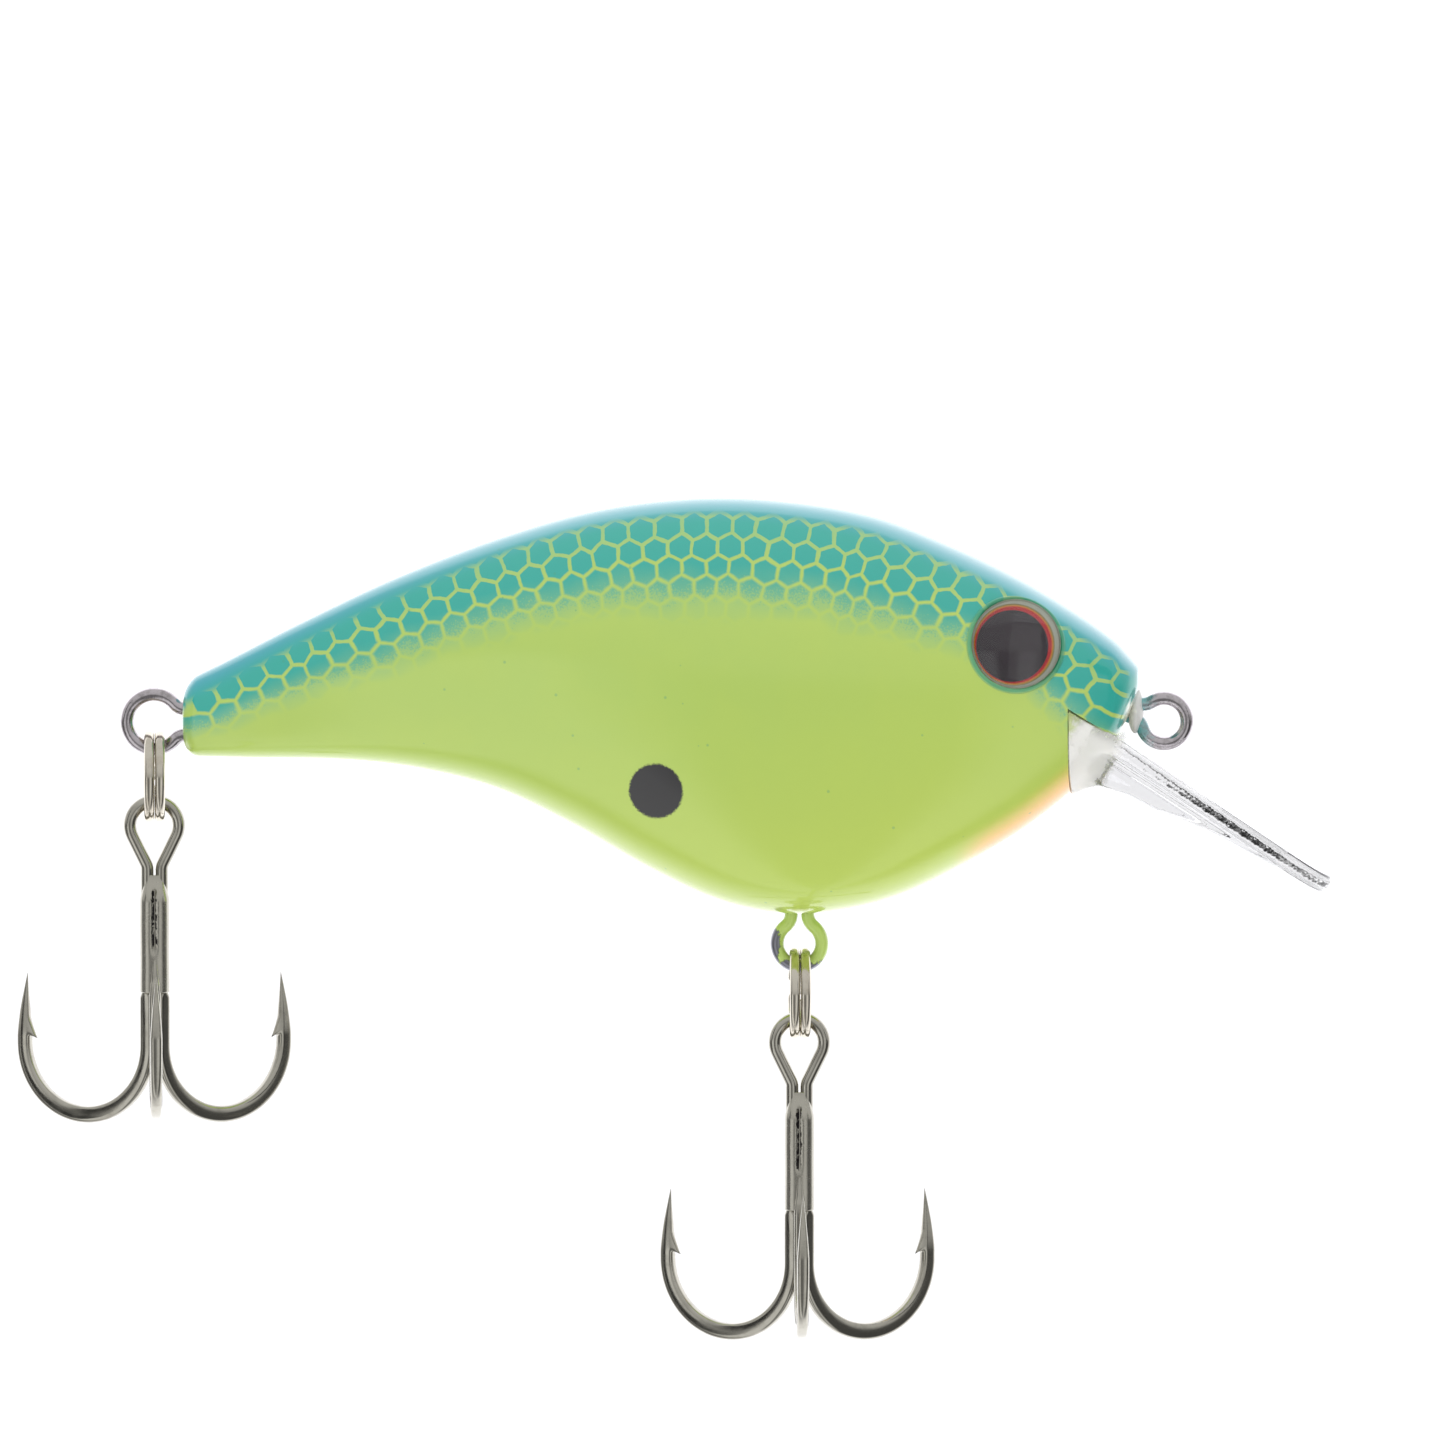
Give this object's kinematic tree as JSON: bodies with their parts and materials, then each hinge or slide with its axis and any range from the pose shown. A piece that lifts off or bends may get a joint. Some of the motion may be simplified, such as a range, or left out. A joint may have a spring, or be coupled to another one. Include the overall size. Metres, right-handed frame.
{
  "type": "crankbait lure",
  "caption": "Square-billed crankbait with a hollow flat-sided body, clear diving lip, wire hangers, split rings, brazed treble hooks and loose rattle balls.",
  "frame": {"origin": "centre of the line-tie loop at the nose", "axes": "+X from tail to nose, +Y to the fish's left, +Z from belly to back"},
  "size_m": [0.0858, 0.0176, 0.0549],
  "materials": {
    "painted_body": "gloss clear coat over chartreuse and teal paint",
    "clear_lip": "clear moulded polycarbonate",
    "steel_wire": "bare drawn wire",
    "painted_wire": "overspray with chips at the outside of the loop",
    "eye_foil": "printed foil with a black pupil and a red and gold rim",
    "eye_lens": "clear cast dome",
    "ballast_metal": "bare metal",
    "rattle_steel": "polished ball",
    "ring_nickel": "bright nickel plate",
    "hook_nickel": "dark nickel plate",
    "hook_braze": "rough braze under dark nickel"
  },
  "bodies": {
    "body": {"body_left": "painted_body", "body_right": "painted_body", "diving_lip": "clear_lip", "line_tie": "steel_wire", "belly_hanger": "painted_wire", "tail_hanger": "steel_wire", "eye_foil_left": "eye_foil", "eye_foil_right": "eye_foil", "eye_lens_left": "eye_lens", "eye_lens_right": "eye_lens", "ballast_slug": "ballast_metal"},
    "front_rattle": {"rattle_ball_front": "rattle_steel"},
    "rear_rattle": {"rattle_ball_rear": "rattle_steel"},
    "belly_ring": {"belly_split_ring": "ring_nickel"},
    "belly_treble": {"belly_hook_pair": "hook_nickel", "belly_hook_third": "hook_nickel", "belly_hook_braze": "hook_braze"},
    "tail_ring": {"tail_split_ring": "ring_nickel"},
    "tail_treble": {"tail_hook_pair": "hook_nickel", "tail_hook_third": "hook_nickel", "tail_hook_braze": "hook_braze"}
  },
  "joints": [
    {"name": "belly_ring_swing", "type": "hinge", "parent": "body", "child": "belly_ring", "pos_m": [-0.0237, 0, -0.01606], "axis": [1, 0, 0], "range_deg": [-60, 60]},
    {"name": "belly_treble_swing", "type": "hinge", "parent": "belly_ring", "child": "belly_treble", "pos_m": [-0.0237, 0, -0.02058], "axis": [0, 1, 0], "range_deg": [-50, 50]},
    {"name": "tail_ring_swing", "type": "hinge", "parent": "body", "child": "tail_ring", "pos_m": [-0.06601, 0, -0.00213], "axis": [1, 0, 0], "range_deg": [-60, 60]},
    {"name": "tail_treble_swing", "type": "hinge", "parent": "tail_ring", "child": "tail_treble", "pos_m": [-0.06601, 0, -0.00665], "axis": [0, 1, 0], "range_deg": [-50, 50]},
    {"name": "front_rattle_slide", "type": "slide", "parent": "body", "child": "front_rattle", "axis": [0, 1, 0], "range_m": [-0.0034, 0.0034]},
    {"name": "rear_rattle_slide", "type": "slide", "parent": "body", "child": "rear_rattle", "axis": [0, 1, 0], "range_m": [-0.00246, 0.00246]}
  ]
}
